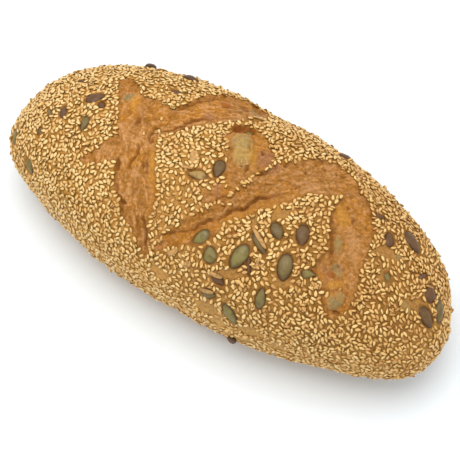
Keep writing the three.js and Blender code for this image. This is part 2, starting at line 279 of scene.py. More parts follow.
# Pumpkin seeds wholly under the crust: along, turn, heading, length, width, height, and how much
# green shows through
BURIED_SEEDS = (
    (-3, 19, 300, 14.5, 12.5, 2, 0.5),
    (0.5, 13.5, 297, 19, 11.5, 1.8, 0.2),
    (77, -37, 252, 11, 7.5, 1.6, 0.8),
    (64, -4, 295, 11, 5, 0.7, 0.7),
    (70, -19, 321, 8, 5, 0.7, 0.7),
    (-69, 18, 248, 8, 6.5, 0.9, 1),
    (-12.5, 50, 14, 6, 5, 1, 1),
    (-8, 49, 80, 6, 4, 0.9, 0.9),
    (91, 17, 334, 7, 4, 0.8, 0.7),
    (105, -13, 344, 8, 4.5, 0.9, 0.5),
    (103, -41, 319, 6, 3.5, 0.7, 0.6),
    (88, -88, 350, 8, 4.5, 0.8, 0.7),
)

# Pumpkin seeds on the crust: along, turn, heading, length, width, height above the crust,
# narrowing towards the tip, and colour from pale at -1 over green at 0 to dark brown at 1
PUMPKIN_SEEDS = (
    (-83, 5, 43, 10.8, 6.2, 2, 0.3, 1),
    (-77, 1, 341, 5.5, 4.4, 1.4, 0.2, 1),
    (-78, -18, 287, 9.6, 4.8, 1.6, 0.3, 0.45),
    (-93, -17, 301, 8.8, 4.7, 1.4, 0.2, 0.9),
    (-101, -22, 319, 8, 2.9, 0.9, 0.2, 0.45),
    (-99, -40, 293, 6, 3.5, 0.8, 0.2, 0.6),
    (-97, -67, 324, 9.8, 6, 1.2, 0.2, 0.1),
    (-114, -62, 300, 8.5, 5.5, 1.3, 0.2, 0),
    (-99, 23, 8, 5, 2.6, 1.2, 0.2, 1),
    (-77, 62, 72, 7.5, 5.2, 3.3, 0.1, 1),
    (-52, 55, 345, 9.8, 5.6, 2.7, 0.2, 1),
    (-50, 35, 11, 6.8, 3.2, 1.4, 0.2, 0.95),
    (-4, 30, 335, 6, 4.4, 2.6, 0.1, 0.25),
    (-4, -4, 287, 10.2, 6.2, 1.9, 0.25, 0.65),
    (-11, -14, 200, 10.8, 5.6, 1.4, 0.5, -0.5),
    (7, -43, 240, 10.8, 6.4, 1.5, 0.45, 0),
    (15, -48, 125, 9.2, 7.4, 1.5, 0.25, 0.15),
    (28, -41, 262, 13.6, 7.9, 2.3, 0.1, 0.1),
    (33, -30, 328, 13.2, 5, 1.8, 0.3, 0.55),
    (34, -43, 299, 9.8, 2.9, 1.5, 0.1, 1),
    (37, -19, 323, 9.8, 6.5, 1.6, 0.2, 0.55),
    (48, -13, 296, 11.4, 7, 2, 0.3, 0.75),
    (49, -34, 290, 13, 7.7, 2.4, 0.1, 0.45),
    (60, -31, 20, 7.6, 4.4, 1.3, 0.6, 0.25),
    (46, -55, 102, 11.2, 5.4, 1.9, 0.25, 0.3),
    (35, -72, 313, 13, 6, 2.3, 0.15, 0.1),
    (24, -57, 346, 8, 5, 1.5, 0.6, 1),
    (22, -67, 11, 8.2, 6, 1.6, 0.5, 0.5),
    (38, -98, 278, 8, 4.5, 3.4, 0.5, 0.9),
    (91, 38, 336, 12.6, 6.6, 2.4, 0.2, 0.85),
    (82, 23, 121, 8.8, 5.2, 1.7, 0.35, 0.85),
    (72, 33, 18, 6.2, 3.8, 1.4, 0.2, 1),
    (104, 23, 75, 5.8, 3.2, 1.6, 0.3, 1),
    (111, 18, 122, 9.8, 6.4, 2, 0.4, 0.9),
    (119, 16, 309, 11.8, 5.8, 2.1, 0.15, 0.45),
    (115, -6, 339, 11.8, 6.6, 2.2, 0.15, 0.75),
    (91, -2, 320, 5.6, 3.8, 0.9, 0.2, 0.3),
    (39, 62, 57, 9, 5.5, 2.3, 0.2, 1),
    (-40, 84, 30, 12.5, 7.5, 1.8, 0.2, 0.4),
    (12, 88, 140, 12, 7, 1.7, 0.3, 0.2),
    (66, 78, 75, 12.5, 7.5, 1.9, 0.2, 0.7),
    (-92, 88, 60, 11.5, 7, 1.7, 0.3, 0.35),
    (98, 74, 25, 12, 7, 1.8, 0.2, 0.6),
)
PUMPKIN_THICKNESS = 3
PUMPKIN_SIDES = 28
PUMPKIN_RINGS = (0.22, 0.45, 0.65, 0.8, 0.9, 0.96)
PUMPKIN_UNDER_RINGS = (0.92, 0.6)
COLLAR_HEIGHT = 0.7

# Strips of husk and split seeds: along, turn, heading, length, width, curl and lift
HUSKS = (
    (32, -28, 333, 12.5, 2.2, 1.2, 1.7),
    (37, -39, 287, 5.5, 1.6, 0.6, 0.9),
    (-17, -6, 307, 9.7, 5.4, 0.2, 0.2),
    (-17, -14, 20, 6, 1.5, 0.4, 1),
    (22, -55, 7, 7.6, 2.2, 0.8, 1.5),
    (21, -65, 16, 7.6, 2.3, 0.8, 1.7),
    (-2, -56, 55, 6.4, 3, 0.4, 0.7),
    (7, -58, 65, 4.8, 3.4, 0.3, 0.6),
    (-6, 43, 20, 6, 1.6, 0.5, 0.9),
    (3, 7, 315, 2.6, 1.3, 0.2, 0.4),
    (6, 8, 51, 2.4, 1.4, 0.2, 0.4),
    (-43, 0, 60, 2.6, 2.2, 0.3, 0.6),
    (109, 22, 30, 5, 1.3, 0.4, 1.2),
)

# Patches of bare crust: along, turn, heading, length and width
BARE_PATCHES = (
    (25, -21, 290, 9, 4),
    (34, -8, 40, 11, 7),
    (12, -36, 10, 6, 4),
    (28, -51, 20, 15, 5),
    (23, -76, 15, 15, 10),
    (46, -80, 0, 14, 9),
    (-5, -71, 0, 12, 8),
    (85, 13, 15, 16, 6),
    (90, -3, 320, 10, 6),
    (107, -6, 40, 14, 7),
    (52, -42, 20, 9, 5),
    (-84, -31, 330, 8, 3),
    (28, -85, 8, 17, 7),
    (43, -92, 5, 10, 6),
    (8, -88, 5, 12, 5),
    (62, -86, 350, 13, 6),
    (-12, -84, 8, 10, 4),
)

# Places where the sesame lies closer or further apart: along, turn, reach and the factor there
SPACING_ZONES = (
    (-2, -40, 14, 1.25),
    (-12, -8, 14, 1.08),
    (10, -68, 14, 1.1),
    (30, -90, 30, 1.2),
    (60, -85, 24, 1.1),
    (-28, -84, 20, 1.1),
)

# Single seeds lying in the openings: along and turn
LONE_SEEDS = (
    (-49, -4), (-46, 11), (4, -11), (9, -4), (8, -13), (2, -26), (7, -21), (10, -19), (76, -29), (72, -36),
    (-42, 1), (65, -36),
)

SESAME_SIDES = 7
SESAME_DRAWS = 420000
SESAME_SEED = 41
# The share of seeds that lie loose on the others, and how close to each other the others lie, as a
# share of the distance at which they touch
LOOSE_SHARE = 0.14
CLOSENESS = 0.84
# Seeds further apart than this can't touch, and seeds closer than the second can't both lie flat
FARTHEST_TOUCH = 4
NEAREST_TOUCH = 1
GRID_CELL = 4.4
NEIGHBOURS = [(x, y, z) for x in (-1, 0, 1) for y in (-1, 0, 1) for z in (-1, 0, 1)]

# How much brighter a flat face looks on the stage than its own colour
STAGE_LIGHT = 1.06

# The mesh of the crust: the cuts lie within this distance of the middle, and have closer stations
CUT_REACH = 86
STATIONS = 360
SIDE_COLUMNS = 160
BASE_COLUMNS = 14


def paint(red, green, blue):
    """The linear colour of a surface that looks like this, from 0 to 255, in the light of this stage."""
    shares = (value / 255 for value in (red, green, blue))
    return tuple(((s + 0.055) / 1.055) ** 2.4 / STAGE_LIGHT for s in shares)


def shade_setting(label, meaning, *shade):
    return FloatVectorProperty(name=label, description=meaning, subtype="COLOR", default=paint(*shade))


def length_setting(label, meaning, length):
    return FloatProperty(
        name=label, description=meaning, default=length * MM, min=0, unit="LENGTH", precision=5
    )


def angle_setting(label, meaning, angle):
    return FloatProperty(
        name=label, description=meaning, default=math.radians(angle), subtype="ANGLE", unit="ROTATION"
    )


class CrustSettings(bpy.types.PropertyGroup):
    """Finish of the crust"""

    tan: shade_setting("Tan", "Clear patches of crust", 188, 134, 66)
    ground: shade_setting("Ground", "Crust among the sesame", 182, 130, 56)
    # Brown is also painted as shade along the borders of the openings, and partly as painted shade towards
    # +X.
    brown: shade_setting("Brown", "Well baked crust", 142, 87, 24)
    bare: shade_setting("Bare", "Crust in the opened cuts", 170, 114, 52)
    orange: shade_setting("Orange", "Smooth faces of the cuts", 180, 117, 38)
    golden: shade_setting("Golden", "Golden patches of the cuts", 204, 142, 50)
    rosy: shade_setting("Rosy", "Pinkish brown patches", 160, 106, 70)
    red: shade_setting("Red", "Reddest patches", 162, 86, 28)
    side: shade_setting("Side", "Pale crust low on the sides", 232, 180, 100)
    strand: shade_setting("Strand", "Darker strands of the cuts", 146, 92, 18)
    light: shade_setting("Light", "Palest streaks of the cuts", 202, 146, 92)
    # Painted shade: the dark of the cracks, hollows and pits, and of the painted shadow round each pumpkin
    # seed.
    crease: shade_setting("Crease", "Depth of the cracks", 124, 70, 8)
    green: shade_setting("Green", "Seeds that show through", 132, 124, 84)
    pale: shade_setting("Pale", "Thin crust over a seed", 208, 168, 92)
    grain: length_setting("Grain", "Height of the finest relief", 0.4)


class SesameSettings(bpy.types.PropertyGroup):
    """Size and colours of the sesame seeds"""

    length: length_setting("Length", "Length of a seed", 3.25)
    width: length_setting("Width", "Width of a seed", 1.7)
    thickness: length_setting("Thickness", "Thickness of a seed", 1)
    most: IntProperty(name="Most", description="Largest number of seeds", default=6200, min=1)
    pale: shade_setting("Pale", "Palest seeds", 235, 199, 132)
    golden: shade_setting("Golden", "Toasted seeds", 220, 173, 100)
    glazed: shade_setting("Glazed", "Seeds half sunk in the crust", 190, 138, 74)
    # Partly the toasted edge of a seed, partly painted contact shadow on the skirt round it.
    rim: shade_setting("Rim", "Edge of a seed", 126, 82, 18)


class PumpkinSettings(bpy.types.PropertyGroup):
    """Colours of the pumpkin seeds and husks"""

    green: shade_setting("Green", "Green seeds", 128, 114, 58)
    brown: shade_setting("Brown", "Toasted seeds", 98, 62, 30)
    edge: shade_setting("Edge", "Edge of a seed", 72, 46, 14)
    husk: shade_setting("Husk", "Strips of husk", 192, 142, 76)


class StageSettings(bpy.types.PropertyGroup):
    """Camera, light and floor"""

    elevation: angle_setting("Elevation", "Angle of the camera above the floor", 62)
    azimuth: angle_setting("Azimuth", "Turn of the camera from the loaf's side", 33.3)
    distance: length_setting("Distance", "Distance of the camera", 600)
    lens: FloatProperty(name="Lens", description="Focal length", default=90.67, min=1, unit="CAMERA")
    sky: FloatProperty(name="Sky", description="Strength of the light all round", default=1, min=0)
    lamp: FloatProperty(name="Lamp", description="Power of the soft lamp", default=9, min=0, unit="POWER")
    floor: FloatVectorProperty(
        name="Floor", description="Colour of the floor", subtype="COLOR", default=(0.8, 0.835, 0.86)
    )


# Small tools


def unit(vectors):
    return vectors / (np.linalg.norm(vectors, axis=-1, keepdims=True) + 1e-12)


def smooth(low, high, value):
    share = np.clip((value - low) / (high - low), 0, 1)
    return share * share * (3 - 2 * share)


def bell(share):
    return np.exp(-share * share)


def dot(first, second):
    return (first * second).sum(-1)


def fractal(points, size, octaves, start):
    """Smooth noise of about -1 to 1 whose largest forms measure size."""
    shift = Vector((17.3, 5.7, 11.9)) * start
    values = (noise.fractal(Vector(point) / size + shift, 1.0, 2.0, octaves) for point in points)
    return np.fromiter(values, float, len(points))


def curve_through(points, count):
    """A smooth curve through the given points, as count + 1 places along it."""
    points = np.asarray(points, float)
    padded = np.vstack([2 * points[0] - points[1], points, 2 * points[-1] - points[-2]])
    place = np.linspace(0, len(points) - 1, count + 1)
    index = np.minimum(place.astype(int), len(points) - 2)
    t = (place - index)[:, None]
    a, b, c, d = (padded[index + k] for k in range(4))
    bend = (2 * a - 5 * b + 4 * c - d) * t**2 + (3 * b - a - 3 * c + d) * t**3
    return 0.5 * (2 * b + (c - a) * t + bend)


# The dough's skin without cuts


def girth_at(along):
    share = np.minimum(np.abs(along) / HALF_LENGTH, 1)
    return (1 - share**PLAN_FULLNESS) ** (1 / PLAN_FULLNESS)


def half_width_at(along):
    return WIDTH / 2 * girth_at(along) * (1 + END_TAPER * along / HALF_LENGTH)


def root_depth_at(along):
    return ROOT_DEPTH * girth_at(along) ** RIDGE_FALL


def skin_points(along, turn):
    along, turn = np.broadcast_arrays(np.asarray(along, float), np.asarray(turn, float))
    across = np.sin(np.radians(turn))
    up = np.cos(np.radians(turn))
    dome = up >= 0
    rise = np.where(dome, (HEIGHT - WAIST) * girth_at(along) ** RIDGE_FALL, root_depth_at(along)) + 1e-6
    fullness = np.where(dome, DOME_FULLNESS, TUCK_FULLNESS)
    wide = half_width_at(along) + 1e-6
    reach = (np.abs(across / wide) ** fullness + np.abs(up / rise) ** fullness) ** (-1 / fullness)
    middle = BOW * (along / HALF_LENGTH) ** 2
    return np.stack([along, middle + reach * across, np.maximum(WAIST + reach * up, 0)], -1)


def skin_normals(along, turn):
    step = 0.5
    limit = HALF_LENGTH - step
    near = np.clip(along, -limit, limit)
    here = skin_points(near, turn)
    onward = skin_points(near + step / 2, turn) - here
    sideways = skin_points(near, turn + step) - here
    return unit(np.cross(onward, sideways))


def foot_angle(along):
    """The angle at which the side of the loaf meets its base."""
    below = WAIST / max(root_depth_at(along), 1e-6)
    if below >= 1:
        return TUCKED_ENDS
    wide = half_width_at(along) * (1 - below**TUCK_FULLNESS) ** (1 / TUCK_FULLNESS)
    return min(math.degrees(math.atan2(wide, -WAIST)), TUCKED_ENDS)


# Relief of the crust


def way_round(outline):
    """A smooth closed line through an outline's places, and the same line on the skin."""
    places = np.array([*outline, outline[0]], float)
    line = curve_through(places, 2 * len(outline))
    return line, skin_points(line[:, 0], line[:, 1])


def depth_inside(points, along, turn, outline):
    """The distance in mm from an outline to each point: positive inside it."""
    line, skin = way_round(outline)
    inside = np.zeros(len(points), bool)
    distance = np.full(len(points), 99.0)
    for i in range(len(line) - 1):
        (x0, t0), (x1, t1) = line[i], line[i + 1]
        if t0 != t1:
            crossing = (x1 - x0) * (turn - t0) / (t1 - t0) + x0
            inside ^= ((t0 > turn) != (t1 > turn)) & (along < crossing)
        distance = np.minimum(distance, away_from(points, skin[i], skin[i + 1])[0])
    return np.where(inside, distance, -distance)


def away_from(points, start, end):
    """The distance of each point from a straight piece of line, and the nearest part of it."""
    way = end - start
    part = np.clip((points - start) @ way / (way @ way + 1e-9), 0, 1)
    return np.linalg.norm(points - start - part[:, None] * way, axis=1), part


def away_from_line(points, places, pieces=2):
    """The distance of each point from a smooth line on the skin, and the share of its length."""
    places = np.array(places, float)
    line = curve_through(skin_points(places[:, 0], places[:, 1]), pieces * len(places))
    nearest = np.full(len(points), 99.0)
    share = np.zeros(len(points))
    for i in range(len(line) - 1):
        away, part = away_from(points, line[i], line[i + 1])
        share = np.where(away < nearest, (i + part) / (len(line) - 1), share)
        nearest = np.minimum(nearest, away)
    return nearest, share


def openings_at(points, along, turn):
    """Relief of the openings in mm, and masks of what shows in them."""
    relief = np.zeros(len(points))
    masks = {name: np.zeros(len(points)) for name in ("bare", "edge", "slope", "streak", "run", "lane")}
    wander = fractal(points, 8, 3, 3)
    for opening in OPENINGS:
        inside = depth_inside(points, along, turn, opening.outline)
        ragged = inside + 0.9 * wander
        masks["bare"] = np.maximum(masks["bare"], smooth(-0.3, 0.3, ragged))
        # Painted shade: a band along the opening's border that the finish darkens.
        masks["edge"] = np.maximum(masks["edge"], bell(ragged / 0.7) * (inside > -4))
        shelf = 1 - np.exp(-np.maximum(inside, 0) / SHELF)
        lip = LIP_HEIGHT * bell((inside + 1.1) / LIP_REACH) * (inside < 1)
        relief = np.minimum(relief, -opening.depth * shelf)
        relief = np.where(relief < -0.05, relief, np.maximum(relief, lip))
        middle_along, middle_turn = np.mean(opening.outline, axis=0)
        ahead, aside, _ = frames_at(middle_along, middle_turn, opening.grain)
        run = points @ ahead / FIBRE_LENGTH
        lane = (points @ aside + 1.8 * wander) / FIBRE_WIDTH
        within = (inside > 0) & (opening.streak >= masks["streak"])
        masks["streak"] = np.where(within, opening.streak, masks["streak"])
        masks["run"] = np.where(within, run, masks["run"])
        masks["lane"] = np.where(within, lane, masks["lane"])
    for places, width in SMOOTH_FACES:
        away, share = away_from_line(points, places)
        taper = np.sin(math.pi * share) ** 0.5
        face = smooth(1.25, 0.75, away * 2 / width + 0.25 * wander) * taper
        masks["slope"] = np.maximum(masks["slope"], face * masks["bare"])
    flow = np.stack([masks["run"], masks["lane"], np.zeros(len(points))], -1)
    fibre = fractal(flow, 1, 3, 5) * masks["streak"]
    lumps = fractal(points, 3.2, 3, 7) * masks["bare"]
    relief += (0.7 * fibre + 0.4 * lumps) * (1 - 0.7 * masks["slope"])
    return relief, masks


def creases_at(points):
    """Relief of the creases, hollows and pits in mm, and how deep in one each point lies: a mask that the
    crust's finish paints as shade.
    """
    relief = np.zeros(len(points))
    depth = np.zeros(len(points))
    uneven = 1 + 0.5 * fractal(points, 5, 2, 6)
    crinkle = np.zeros_like(points)
    for axis, start in enumerate((21, 22)):
        crinkle[:, axis] = 0.7 * fractal(points, 2.4, 3, start)
    for crease in CREASES:
        away, share = away_from_line(points + crinkle, crease.places, 3)
        taper = np.sin(math.pi * share) ** 0.5 * uneven
        groove = bell(away / crease.width) * taper
        shoulder = bell((away - 2.4 * crease.width) / (1.2 * crease.width)) * taper
        relief += crease.depth * (0.25 * shoulder - groove) - crease.furrow * bell(away / 5) * taper
        depth = np.maximum(depth, np.clip(1.8 * groove**2 * crease.depth, 0, 1))
    for along, turn, heading, length, width, deep in HOLLOWS:
        reach = oval_at(points, along, turn, heading, length, width)
        relief -= deep * smooth(1.1, 0.6, reach)
        depth = np.maximum(depth, 0.3 * smooth(1.15, 0.9, reach))
    for along, turn, width, deep in PITS:
        away = np.linalg.norm(points - skin_points(along, turn), axis=1)
        hole = bell(away / (width / 2))
        relief -= deep * hole
        relief += 0.3 * deep * bell((away - width) / (width / 3))
        depth = np.maximum(depth, hole)
    return relief, depth


def oval_at(points, along, turn, heading, length, width):
    """How far each point is from the middle of an oval lying on the crust: 1 on its edge."""
    ahead, aside, out = frames_at(along, turn, heading)
    offset = points - skin_points(along, turn)
    far = dot(offset, out) / length
    return np.sqrt((dot(offset, ahead) * 2 / length) ** 2 + (dot(offset, aside) * 2 / width) ** 2 + far**2)


def frames_at(along, turn, heading):
    """The length's, the width's and the outward direction of things that lie on the crust."""
    out = skin_normals(along, turn)
    onward = unit(np.array([1.0, 0, 0]) - out * out[..., :1])
    sideways = np.cross(out, onward)
    angle = np.radians(np.asarray(heading, float))[..., None]
    ahead = onward * np.cos(angle) + sideways * np.sin(angle)
    return ahead, np.cross(out, ahead), out


def seeds_at(points):
    """Relief round and over the pumpkin seeds in mm, masks of how the buried seeds tint the crust, and a
    painted shadow round each seed on the crust.
    """
    relief = np.zeros(len(points))
    green = np.zeros(len(points))
    pale = np.zeros(len(points))
    shadow = np.zeros(len(points))
    for along, turn, heading, length, width, height, shows in BURIED_SEEDS:
        reach = oval_at(points, along, turn, heading, length, width)
        relief += height * np.sqrt(np.clip(1 - reach**2, 0, 1))
        skin = smooth(1.05, 0.6, reach)
        pale = np.maximum(pale, skin * (1 - shows))
        green = np.maximum(green, skin * shows)
    for along, turn, heading, length, width, proud, _, _ in PUMPKIN_SEEDS:
        reach = oval_at(points, along, turn, heading, length, width)
        relief += COLLAR_HEIGHT * min(proud / 2, 1) * bell((reach - 1.12) / 0.22)
        relief -= 0.5 * smooth(1.0, 0.7, reach)
        # Painted shadow: a dark ring on the crust round each seed.
        shadow = np.maximum(shadow, 0.7 * smooth(1 + 1.6 / width, 1, reach))
    return relief, green, pale, shadow


def grounds_at(points, along, turn, ragged):
    """How far each point lies in the bare grounds."""
    inside = np.max([depth_inside(points, along, turn, ground) for ground in BARE_GROUNDS], axis=0)
    return smooth(-1, 1, inside + ragged)


def ovals_at(points, ovals, ragged):
    """How far each point lies in one of the ovals."""
    reach = np.min([oval_at(points, *oval) for oval in ovals], axis=0)
    return smooth(1.25, 0.7, reach + 0.16 * ragged)


def swells_at(points):
    relief = np.zeros(len(points))
    for along, turn, reach, height in SWELLS:
        relief += height * bell(np.linalg.norm(points - skin_points(along, turn), axis=1) / reach)
    return relief


def crust_at(along, turn):
    """Points of the finished crust, and its masks by name."""
    points = skin_points(along, turn)
    fade = smooth(0, FOOT_FADE, points[:, 2])
    opening_relief, masks = openings_at(points, along, turn)
    crease_relief, crease = creases_at(points)
    seed_relief, green, pale, shadow = seeds_at(points)
    lumps = fractal(points, 16, 3, 1)
    relief = swells_at(points) + opening_relief + crease_relief + seed_relief + 0.55 * lumps
    moved = points + skin_normals(along, turn) * (relief * fade)[:, None]
    moved[:, 2] = np.maximum(moved[:, 2], 0)
    ragged = 1.4 * fractal(points, 4, 3, 9)
    masks["ground"] = grounds_at(points, along, turn, ragged)
    masks["clear"] = ovals_at(points, BARE_PATCHES, ragged)
    for label, ovals in TINTS.items():
        masks[label] = ovals_at(points, ovals, ragged)
    # The crease mask is painted shade in the cracks, hollows and pits, with the painted shadow round the
    # pumpkin seeds.
    masks["crease"] = np.maximum(crease, shadow)
    masks["sparse"] = smooth(1.02, 1.2, spacing_factor(points))
    masks["green"] = green
    masks["pale"] = pale
    masks["low"] = smooth(58, 24, points[:, 2])
    # Darker towards +X: partly browner baking, partly painted shade for the light that falls off towards
    # that end.
    masks["toast_and_painted_shade"] = smooth(-130, 130, along + 26 * fractal(points, 45, 2, 13))
    return moved, masks


# Meshes


def add_mesh(name, points, faces, masks, material):
    """Makes an object from points in mm, with one float for each point in each mask."""
    mesh = bpy.data.meshes.new(name)
    mesh.from_pydata((np.asarray(points) * MM).tolist(), [], faces)
    for label, values in masks.items():
        layer = mesh.attributes.new(label, "FLOAT", "POINT")
        layer.data.foreach_set("value", np.asarray(values, np.float32))
    mesh.polygons.foreach_set("use_smooth", [True] * len(mesh.polygons))
    mesh.update()
    piece = bpy.data.objects.new(name, mesh)
    bpy.context.scene.collection.objects.link(piece)
    mesh.materials.append(material)
    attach(piece, "root")
    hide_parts("loaf")


def ring_faces(rings, sides):
    """Faces of a closed form: rings of points, followed by its top and its bottom point."""
    faces = []
    for ring in range(rings - 1):
        for side in range(sides):
            a = ring * sides + side
            b = ring * sides + (side + 1) % sides
            faces.append((a, a + sides, b + sides, b))
    last = (rings - 1) * sides
    top = rings * sides
    for side in range(sides):
        following = (side + 1) % sides
        faces.append((top, side, following))
        faces.append((top + 1, last + following, last + side))
    return faces


def many_faces(count, rings, sides):
    """Faces of many like closed forms, whose points follow each other."""
    faces = ring_faces(rings, sides)
    each = rings * sides + 2
    return [tuple(v + i * each for v in face) for i in range(count) for face in faces]


def ringed(outline, rings, top, bottom):
    """Points of a closed form: the outline at each ring's share and height, the top, the bottom."""
    rows = [np.column_stack([outline * share, np.full(len(outline), height)]) for share, height in rings]
    return np.vstack([*rows, [top], [bottom]])


def laid_down(local, along, turn, heading):
    """Moves a thing's points from its own directions onto the crust."""
    along = np.array([along])
    turn = np.array([turn])
    axes = np.stack([axis[0] for axis in frames_at(along, turn, [heading])])
    return crust_at(along, turn)[0][0] + local @ axes


def station_places():
    """Distances along the loaf, closer together where it is cut."""
    fine = HALF_LENGTH * np.sin(np.linspace(-math.pi / 2, math.pi / 2, 4001))
    steps = np.hypot(np.diff(fine), 0.6 * np.diff(half_width_at(fine)))
    steps *= np.where(np.abs(fine[1:]) < CUT_REACH, 1.8, 1)
    walked = np.concatenate([[0], np.cumsum(steps)])
    return np.interp(np.linspace(0, walked[-1], STATIONS + 1), walked, fine)


def angles_round(along):
    """The turns of the columns at one station, closest together on the upper crust."""
    foot = foot_angle(along)
    fine = np.linspace(0, foot, 600)
    section = skin_points(along, fine)
    lengths = np.linalg.norm(np.diff(section, axis=0), axis=1)
    lengths *= np.interp(fine[1:], (66, 72, 92, 100), (1.6, 1, 1, 0.5))
    walked = np.concatenate([[0], np.cumsum(lengths)])
    side = np.interp(np.linspace(0, walked[-1], SIDE_COLUMNS + 1), walked, fine)
    half = np.concatenate([side, np.linspace(foot, 180, BASE_COLUMNS + 1)[1:]])
    return np.concatenate([half, -half[-2:0:-1]])


def build_crust(material):
    stations = station_places()[1:-1]
    turns = np.array([angles_round(along) for along in stations])
    columns = turns.shape[1]
    along = np.concatenate([np.repeat(stations, columns), [-HALF_LENGTH, HALF_LENGTH]])
    turn = np.concatenate([turns.ravel(), [0, 0]])
    points, masks = crust_at(along, turn)
    add_mesh("crust", points, ring_faces(len(stations), columns), masks, material)


# Sesame


def sesame_template():
    """A drop-shaped seed of length, width and thickness 1, its tip towards +X."""
    angle = np.arange(SESAME_SIDES) * 2 * math.pi / SESAME_SIDES
    outline = np.stack([np.cos(angle), np.sin(angle) * (1 - 0.26 * np.cos(angle))], -1) / 2
    # The outer ring is a low skirt round the seed that the finish paints dark: partly toasted edge and
    # glaze, partly painted contact shadow.
    rings = [(0.7, 0.36), (1.2, -0.2)]
    points = ringed(outline, rings, (-0.04, 0, 0.52), (0, 0, -0.75))
    rim = np.repeat([0.7, 1.2, 0, 1.2], [SESAME_SIDES, SESAME_SIDES, 1, 1])
    return points, rim


def spacing_factor(points):
    factor = np.ones(len(points))
    for along, turn, reach, value in SPACING_ZONES:
        near = bell(np.linalg.norm(points - skin_points(along, turn), axis=1) / reach)
        factor *= 1 + (value - 1) * near
    thin_below = smooth(34, 8, points[:, 2])
    return factor * (1 + 0.55 * thin_below) * (1 + 0.16 * np.maximum(fractal(points, 13, 2, 8), 0))


def seeded_places(draw):
    """Places drawn evenly over the crust, leaving out those where no sesame lies."""
    along = draw.uniform(-HALF_LENGTH, HALF_LENGTH, SESAME_DRAWS)
    turn = draw.uniform(-150, 150, SESAME_DRAWS)
    step = 0.5
    here = skin_points(along, turn)
    onward = skin_points(along + step, turn) - here
    sideways = skin_points(along, turn + step) - here
    area = np.linalg.norm(np.cross(onward, sideways), axis=1)
    kept = (draw.random(SESAME_DRAWS) < area / np.percentile(area, 99)) & (here[:, 2] > 2.5)
    along, turn = along[kept], turn[kept]
    points = skin_points(along, turn)
    ragged = 1.4 * fractal(points, 4, 3, 9)
    free = openings_at(points, along, turn)[1]["bare"] < 0.3
    free &= grounds_at(points, along, turn, ragged) < 0.5
    free &= ovals_at(points, BARE_PATCHES, ragged) < 0.5
    free &= ovals_at(points, [hollow[:5] for hollow in HOLLOWS], ragged) < 0.2
    for seed in PUMPKIN_SEEDS:
        free &= oval_at(points, *seed[:5]) > 1.22
    return along[free], turn[free], points[free]


def spread_out(points, ahead, half, spacing, most):
    """Picks seeds in the drawn order that don't lie over one already picked."""
    grid = {}
    picked = []
    cells = np.floor(np.array(points) / GRID_CELL).astype(int).tolist()
    for i, (x, y, z) in enumerate(cells):
        nearby = (j for a, b, c in NEIGHBOURS for j in grid.get((x + a, y + b, z + c), ()))
        seed = (points[i], ahead[i], half[i])
        if all(clear_of(*seed, points[j], ahead[j], half[j], spacing[i]) for j in nearby):
            grid.setdefault((x, y, z), []).append(i)
            picked.append(i)
            if len(picked) == most:
                break
    return np.array(picked)


def clear_of(point, axis, size, other_point, other_axis, other_size, factor):
    """Whether two flat ovals lie clear of each other, allowing a slight overlap."""
    dx = other_point[0] - point[0]
    dy = other_point[1] - point[1]
    dz = other_point[2] - point[2]
    away = dx * dx + dy * dy + dz * dz
    if away > FARTHEST_TOUCH**2:
        return True
    if away < NEAREST_TOUCH**2:
        return False
    away = math.sqrt(away)
    reach = 0
    for line, (long, wide) in ((axis, size), (other_axis, other_size)):
        cosine = (line[0] * dx + line[1] * dy + line[2] * dz) / away
        square = min(cosine * cosine, 1)
        reach += long * wide / math.sqrt(wide * wide * square + long * long * (1 - square))
    return away > CLOSENESS * factor * reach


